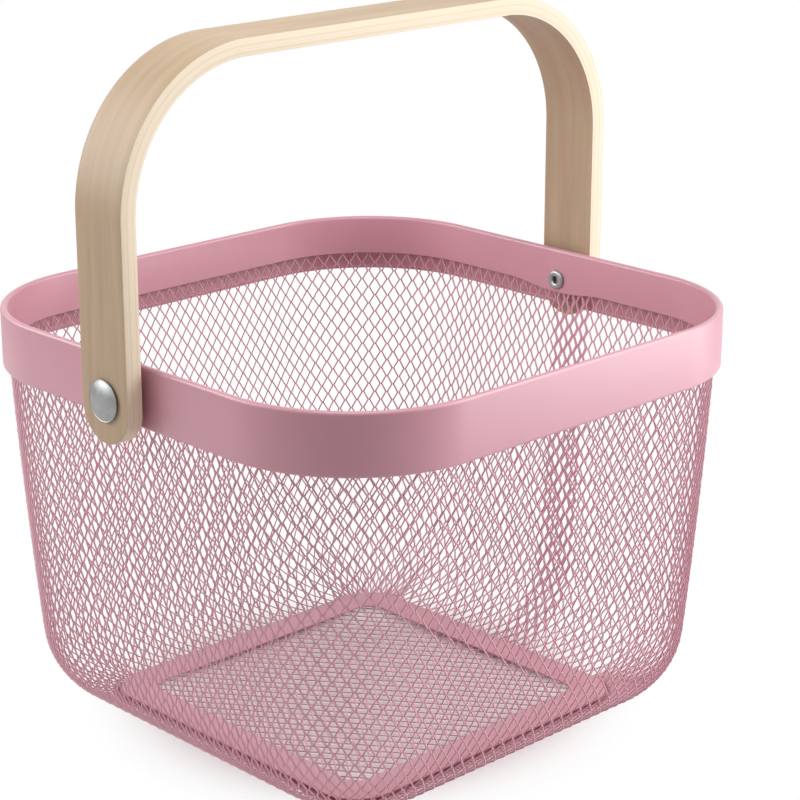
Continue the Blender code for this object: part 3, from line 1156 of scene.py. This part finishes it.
@dataclass
class BentHandle:
    """A strip of glued veneers, bent over a form, with round ends.

    Attributes:
        thickness: thickness of the strip.
        bend_radius: outer radius of the two bends.
        edge_radius: rounding of the long edges.
        bore: radius of the rivet holes.
        end_drop: centre of a leg's round end, below the rivets' axis.
        tip_steps: stations along each round end.
        bend_steps: stations along each bend.
        leg_steps: stations along each straight leg.
        bar_steps: stations along the crossbar.
        across_steps: divisions across the strip.
        tip_degrees: angle round a tip to its first station, which so has a width.
    """

    thickness: float = 7.1 * MM
    bend_radius: float = 63.0 * MM
    edge_radius: float = 0.9 * MM
    bore: float = 2.8 * MM
    end_drop: float = 3.5 * MM
    tip_steps: int = 24
    bend_steps: int = 36
    leg_steps: int = 6
    bar_steps: int = 8
    across_steps: int = 6
    tip_degrees: float = 3.0

    def leg(
        self, pivot: Vector, side: float, half_width: float, bend_start: float
    ) -> list[tuple[float, float, float]]:
        """Stations from the round tip of a leg up to the bend.

        Args:
            pivot: a point on the rivets' axis.
            side: X of the strip's middle there.
            half_width: half the strip's width.
            bend_start: height at which the bend starts.

        Returns:
            X, Z and half width of each station.
        """
        stations = []
        end_centre = pivot.z - self.end_drop
        for k in range(self.tip_steps + 1):
            angle = math.radians(self.tip_degrees + (90 - self.tip_degrees) * k / self.tip_steps)
            height = end_centre - half_width * math.cos(angle)
            stations.append((side, height, half_width * math.sin(angle)))
        for k in range(1, self.leg_steps):
            height = end_centre + (bend_start - end_centre) * k / self.leg_steps
            stations.append((side, height, half_width))
        return stations

    def build(self, pivot: Vector, material: Material) -> Object:
        """Builds the handle in the place of the frame's node.

        Args:
            pivot: a point on the rivets' axis.
            material: the wood.

        Returns:
            The handle.
        """
        low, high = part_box("handle")
        half_width = high.y
        side = high.x - self.thickness / 2
        bend = self.bend_radius - self.thickness / 2
        centre_x = side - bend
        centre_z = high.z - self.bend_radius
        stations = self.leg(pivot, -side, half_width, centre_z)
        for x, z in arc((-centre_x, centre_z), bend, 180, 90, self.bend_steps):
            stations.append((x, z, half_width))
        for k in range(1, self.bar_steps):
            stations.append((centre_x * (2 * k / self.bar_steps - 1), centre_z + bend, half_width))
        for x, z in arc((centre_x, centre_z), bend, 90, 0, self.bend_steps):
            stations.append((x, z, half_width))
        stations += reversed(self.leg(pivot, side, half_width, centre_z))
        points = []
        for x, z, reach in stations:
            for k in range(self.across_steps + 1):
                points.append(Vector((x, reach * (2 * k / self.across_steps - 1), z)))
        faces = grid_faces(len(stations), self.across_steps + 1, closed=False)
        handle = mesh_object("handle_bentwood", points, faces, material)
        face_outwards(handle)
        add_sheet(handle, self.thickness)
        add_round_edges(handle, self.edge_radius, segments=3)
        drill(handle, pivot, self.bore, 2 * high.x)
        apply_modifiers(handle, sharp_degrees=30)
        self.mark_grain(handle, centre_x, centre_z)
        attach(handle, Body.HANDLE.value)
        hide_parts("handle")
        return handle

    def mark_grain(self, handle: Object, centre_x: float, centre_z: float) -> None:
        """Stores the strip's own coordinates and how squarely each point faces out.

        Args:
            handle: the handle.
            centre_x: distance of each bend's centre from the middle.
            centre_z: height of the bends' centres.
        """
        mesh = handle.data
        mesh.attributes.new("strip", "FLOAT_VECTOR", "POINT")
        mesh.attributes.new("facing", "FLOAT", "POINT")
        strip = mesh.attributes["strip"]
        facing = mesh.attributes["facing"]
        inner = self.bend_radius - self.thickness
        bend = self.bend_radius - self.thickness / 2
        for vertex in mesh.vertices:
            x, y, z = vertex.co
            out = Vector((max(abs(x) - centre_x, 0.0), 0.0, max(z - centre_z, 0.0)))
            depth = out.length - inner
            direction = out.normalized()
            direction.x = math.copysign(direction.x, x)
            if out.z <= 0.0:
                along = z - centre_z
            elif out.x <= 0.0:
                along = bend * math.pi / 2 + centre_x - abs(x)
            else:
                along = bend * math.atan2(out.z, out.x)
            along = math.copysign(bend * math.pi / 2 + centre_x - along, x)
            strip.data[vertex.index].vector = (along, y, depth)
            facing.data[vertex.index].value = abs(vertex.normal.dot(direction))


@dataclass
class Rivets:
    """Domed rivets with a rolled hollow tail, one at each end of the handle's axis.

    Attributes:
        head_radius: radius of the head.
        head_height: height of the dome.
        head_edge: height of the head's upright edge.
        dome_share: share of the dome that is left where its edge is rounded.
        round_edge: rounding of the head's edge.
        round_lift: lowest point of that rounding's circle, above the underside.
        seat: from the edge of the head in to its flat underside.
        shank: radius of the shank.
        tail_radius: radius of the rolled tail.
        tail_height: height of the rolled tail.
        hollow: radius of the tail's hollow.
        hollow_depth: depth of that hollow.
        tail_room: how far short of the frame's node the tail is rolled.
        turn_steps: facets round each rivet.
    """

    head_radius: float = 8.5 * MM
    head_height: float = 2.6 * MM
    head_edge: float = 0.7 * MM
    dome_share: float = 0.94
    round_edge: float = 0.45 * MM
    round_lift: float = 0.2 * MM
    seat: float = 0.5 * MM
    shank: float = 2.5 * MM
    tail_radius: float = 4.4 * MM
    tail_height: float = 2.1 * MM
    hollow: float = 1.5 * MM
    hollow_depth: float = 4.0 * MM
    tail_room: float = 0.65 * MM
    turn_steps: int = 72

    def profile(self, length: float) -> list[tuple[float, float]]:
        """Half section of a rivet. Height 0 is the underside of the head.

        Args:
            length: whole length of the rivet.

        Returns:
            Radii and heights.
        """
        rise = self.head_height - self.head_edge
        dome = (self.head_radius ** 2 + rise ** 2) / (2 * rise)
        half_angle = math.degrees(math.asin(self.head_radius / dome))
        dome_end = 90 - self.dome_share * half_angle
        points = arc((0.0, self.head_height - dome), dome, 90, dome_end, steps=20)
        points[0] = (0.0, self.head_height)
        edge_centre = (self.head_radius - self.round_edge, self.round_edge + self.round_lift)
        points += arc(edge_centre, self.round_edge, 60, -60, steps=8)
        points += [(self.head_radius - self.seat, 0.0), (self.shank, 0.0)]
        tail_end = self.head_height - length
        tail_start = tail_end + self.tail_height
        points.append((self.shank, tail_start))
        roll = self.tail_height / 2
        points += arc((self.tail_radius - roll, tail_start - roll), roll, 90, -90, steps=12)
        points += arc((self.hollow + roll, tail_end + roll), roll, 270, 180, steps=8)
        bottom = tail_end + self.hollow_depth
        points += [(self.hollow, bottom), (0.0, bottom)]
        return points

    def build(self, side: Side, material: Material) -> Object:
        """Turns one rivet and puts it in the place of the frame's node.

        Args:
            side: end of the handle's axis.
            material: the plated steel.

        Returns:
            The rivet.
        """
        node = "rivet_" + side.name.lower()
        low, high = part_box(node)
        length = high.x - low.x
        outer = high.x if side is Side.BACK else low.x
        head_base = abs(outer) - self.head_height
        axis_height = (low.z + high.z) / 2
        profile = self.profile(length - self.tail_room)
        points = []
        for radius, height in profile:
            reach = side.value * (head_base + height)
            if radius == 0.0:
                points.append(Vector((reach, 0.0, axis_height)))
                continue
            for k in range(self.turn_steps):
                angle = 2 * math.pi * k / self.turn_steps
                y = radius * math.cos(angle)
                points.append(Vector((reach, y, axis_height + radius * math.sin(angle))))
        steps = self.turn_steps
        rings = len(profile) - 2
        faces: list[tuple[int, ...]] = []
        for face in grid_faces(rings, steps, closed=True):
            faces.append(tuple(corner + 1 for corner in face))
        bottom = len(points) - 1
        last_ring = 1 + (rings - 1) * steps
        for k in range(steps):
            after = (k + 1) % steps
            faces.append((0, 1 + k, 1 + after))
            faces.append((bottom, last_ring + after, last_ring + k))
        rivet = mesh_object(node + "_turned", points, faces, material)
        face_outwards(rivet)
        apply_modifiers(rivet, sharp_degrees=45)
        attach(rivet, Body.BASKET.value)
        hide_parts(node)
        return rivet


@dataclass(frozen=True)
class SoftBox:
    """One plain rectangular lamp that faces the basket.

    Attributes:
        name: the lamp's name.
        turn: from the camera's direction, anticlockwise seen from above, in degrees.
        rise: height angle in degrees.
        distance: from the point that it faces.
        width: its width.
        height: its height.
        power: its power in watts.
    """

    name: str
    turn: float
    rise: float
    distance: float
    width: float
    height: float
    power: float

    def build(self, camera_turn: float, target: Vector) -> Object:
        """Makes the lamp.

        Args:
            camera_turn: direction of the camera, in degrees from +X.
            target: the point that it faces.

        Returns:
            The lamp's object.
        """
        light = bpy.data.lights.new(self.name, "AREA")
        light.shape = "RECTANGLE"
        light.size = self.width
        light.size_y = self.height
        light.energy = self.power
        item = bpy.data.objects.new(self.name, light)
        bpy.context.scene.collection.objects.link(item)
        a = math.radians(camera_turn + self.turn)
        e = math.radians(self.rise)
        away = Vector((math.cos(a) * math.cos(e), math.sin(a) * math.cos(e), math.sin(e)))
        item.location = target + away * self.distance
        item.rotation_euler = (-away).to_track_quat("-Z", "Y").to_euler()
        return item


@dataclass
class Studio:
    """A pale floor and four soft boxes: two on the right, one on the left and one overhead.

    Attributes:
        floor_half: half size of the floor.
        floor_colour: colour of the floor.
        shadow_reach: from the middle, the floor shows its shadows up to here.
        fade_end: from here on the camera sees plain white.
        fill: strength of the world's light on the object.
        camera_turn: direction from the basket to the camera, in degrees from +X.
        middle: the point that the lamps face.
        lamps: the soft boxes.
    """

    floor_half: float = 12.0
    floor_colour: str = "#f2eeee"
    shadow_reach: float = 0.065
    fade_end: float = 0.125
    fill: float = 0.18
    camera_turn: float = -134.03
    middle: tuple[float, float, float] = (0.0, 0.0, 0.13)
    lamps: tuple[SoftBox, ...] = (
        SoftBox("low_right_box", 90.0, 0.0, distance=0.66, width=0.36, height=0.24, power=1.25),
        SoftBox("right_box", 91.0, 32.0, distance=1.6, width=1.1, height=1.0, power=19.0),
        SoftBox("left_box", -90.0, 28.0, distance=0.85, width=0.7, height=0.6, power=4.7),
        SoftBox("top_box", 0.0, 72.0, distance=0.55, width=0.3, height=0.3, power=1.15),
    )

    def floor(self) -> Object:
        """Makes the floor of matt paper. It takes the soft shadow and turns white round it.

        Returns:
            The floor.
        """
        material, tree = new_material("floor_paper")
        path = add_node(tree, "LightPath", {}, {})
        place = add_node(tree, "TexCoord", {}, {}).outputs["Object"]
        away = add_node(tree, "VectorMath", {"operation": "LENGTH"}, {0: place})
        fade = add_node(tree, "MapRange", EASED, {
            "Value": away.outputs["Value"], "From Min": self.shadow_reach,
            "From Max": self.fade_end,
        })
        paper = add_node(tree, "BsdfDiffuse", {}, {"Color": srgb(self.floor_colour)})
        plain = add_node(tree, "Emission", {}, {"Strength": 1.0})
        faded = add_node(tree, "MixShader", {}, {
            0: fade.outputs["Result"], 1: paper.outputs[0], 2: plain.outputs[0],
        })
        seen = add_node(tree, "MixShader", {}, {
            0: path.outputs["Is Camera Ray"], 1: paper.outputs[0], 2: faded.outputs[0],
        })
        show_surface(tree, seen)
        half = self.floor_half
        corners = [(-half, -half, 0.0), (half, -half, 0.0), (half, half, 0.0), (-half, half, 0.0)]
        floor = mesh_object("studio_floor", corners, [(0, 1, 2, 3)], material)
        return floor

    def world(self) -> None:
        """Sets a white background, and an even grey light on the object."""
        world = bpy.data.worlds.new("studio_world")
        world.use_nodes = True
        tree = world.node_tree
        tree.nodes.clear()
        path = add_node(tree, "LightPath", {}, {})
        seen = add_node(tree, "Math", {"operation": "MAXIMUM"}, {
            0: path.outputs["Is Camera Ray"], 1: path.outputs["Is Transmission Ray"],
        })
        either = add_node(tree, "Math", {"operation": "MAXIMUM"}, {
            0: seen.outputs[0], 1: path.outputs["Is Glossy Ray"],
        })
        fill = add_node(tree, "Background", {}, {"Strength": self.fill})
        white = add_node(tree, "Background", {}, {"Color": (1.0, 1.0, 1.0, 1.0), "Strength": 1.0})
        both = add_node(tree, "MixShader", {}, {
            0: either.outputs[0], 1: fill.outputs[0], 2: white.outputs[0],
        })
        add_node(tree, "OutputWorld", {}, {"Surface": both.outputs[0]})
        bpy.context.scene.world = world

    def build(self) -> None:
        """Sets the whole studio up."""
        self.world()
        self.floor()
        for lamp in self.lamps:
            lamp.build(self.camera_turn, Vector(self.middle))
        bpy.context.scene.view_settings.view_transform = "Standard"


@dataclass(frozen=True)
class PhotoCamera:
    """The camera at the photograph's viewing angle.

    Attributes:
        azimuth: in degrees; 0 looks along +Y and 90 along -X.
        elevation: above the horizon, in degrees.
        distance: from the camera to its target.
        target: the point in the middle of the picture.
        lens: focal length in millimetres on the sensor.
        sensor: width of the sensor in millimetres.
    """

    azimuth: float = -44.03
    elevation: float = 17.97
    distance: float = 1.00419
    target: tuple[float, float, float] = (0.00612, -0.01693, 0.13837)
    lens: float = 107.18
    sensor: float = 36.0

    def build(self) -> Object:
        """Makes the scene's camera.

        Returns:
            The camera.
        """
        data = bpy.data.cameras.new("photo_camera")
        data.lens = self.lens
        data.sensor_width = self.sensor
        camera = bpy.data.objects.new("photo_camera", data)
        bpy.context.scene.collection.objects.link(camera)
        a = math.radians(self.azimuth)
        e = math.radians(self.elevation)
        back = Vector((math.sin(a) * math.cos(e), -math.cos(a) * math.cos(e), math.sin(e)))
        camera.location = Vector(self.target) + back * self.distance
        camera.rotation_euler = (-back).to_track_quat("-Z", "Y").to_euler()
        bpy.context.scene.camera = camera
        return camera


def report(label: str, build: Callable[[], object]) -> None:
    """Builds one piece or group and reports it.

    Args:
        label: what is built.
        build: makes it.
    """
    made = build()
    items = made if isinstance(made, list) else [made]
    names = [item.name for item in items if isinstance(item, Object)]
    log.info("%s: %s", label, ", ".join(names) or "done")


def main() -> None:
    """Builds the camera, the basket's pieces and the studio in order."""
    logging.basicConfig(level=logging.INFO, format="%(name)s: %(message)s")
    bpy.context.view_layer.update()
    pivot = Vector(frame["joints"][0]["pos_m"])
    rim_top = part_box("rim_band")[1].z
    plan = SquarePlan()
    base_ring = PlateRing(
        "base_ring", "base_coat", plan, opening=71.5 * MM, opening_radius=8.5 * MM
    )
    clamp_ring = PlateRing(
        "clamp_ring", "ring_coat", plan, opening=66.5 * MM, opening_radius=8.0 * MM
    )
    wood = BirchVeneer().build()
    steel = ZincSteel().build()
    nylon = Nylon().build()
    sheet_coat = PowderCoat("powder_coat_sheet").build()
    # Its cut colour is painted shade on the strands' cut sides, for strands seen edge-on.
    # The mesh's pink is the sheet's coat painted lighter, against the shade that the strands cast
    # on one another.
    mesh_coat_painted_light_and_shade = PowderCoat(
        "powder_coat_mesh_painted_light_and_shade", light="#e6adbb", deep="#e0a4b2", ripple_mm=0.9,
        ripple_height_mm=0.006, cut="#ac7685",
    ).build()

    report("camera", PhotoCamera().build)
    report("mesh wall", lambda: MeshWall(plan).build(rim_top, mesh_coat_painted_light_and_shade))
    report("rim band", lambda: RimBand(plan).build(pivot, sheet_coat))
    report("base ring", lambda: base_ring.build(sheet_coat))
    report("floor mesh", lambda: FloorPanel().build(mesh_coat_painted_light_and_shade))
    report("clamp ring", lambda: clamp_ring.build(sheet_coat))
    report("handle", lambda: BentHandle().build(pivot, wood))
    for side in Side:
        report("rivet", lambda: Rivets().build(side, steel))
        washer = frame["nodes"]["washer_" + side.name.lower()]
        dress(washer, nylon)
        log.info("washer: %s", washer.name)
    report("studio", Studio().build)


if __name__ == "__main__":
    main()
